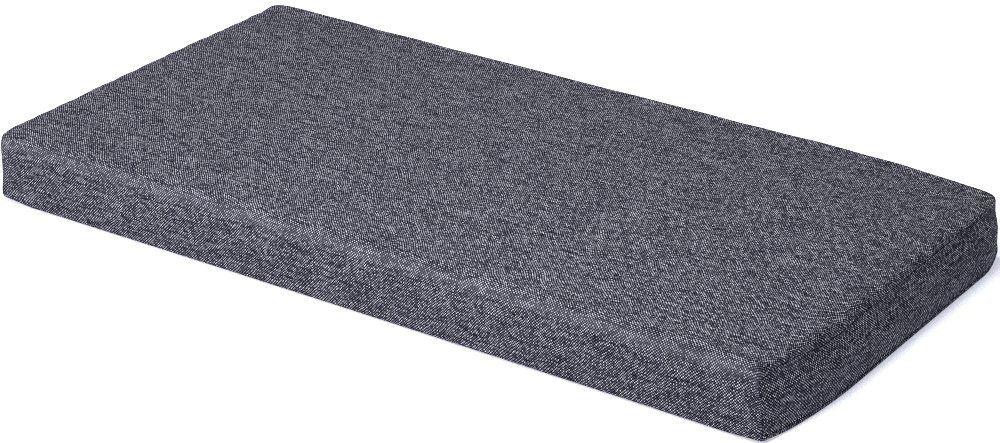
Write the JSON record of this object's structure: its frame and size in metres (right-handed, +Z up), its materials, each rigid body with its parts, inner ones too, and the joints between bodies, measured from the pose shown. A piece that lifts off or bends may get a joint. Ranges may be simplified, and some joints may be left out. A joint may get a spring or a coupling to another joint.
{
  "type": "bench cushion",
  "caption": "Rectangular foam seat cushion for a bench, in a fitted tweed cover with rolled top edges and a sewn-in panel on each short end.",
  "frame": {"origin": "on the surface it lies on, under the middle of the cushion", "axes": "+X along the cushion to its right end, -Y towards its front long side, +Z up"},
  "size_m": [0.914, 0.4562, 0.076],
  "materials": {
    "sleeve_cloth": "matt heathered slate-grey tweed, woven in light grey and near-black navy yarns",
    "end_panel_cloth": "the same tweed"
  },
  "bodies": {
    "root": {"cushion_body": "sleeve_cloth", "end_panel_right": "end_panel_cloth", "end_panel_left": "end_panel_cloth"}
  },
  "joints": []
}
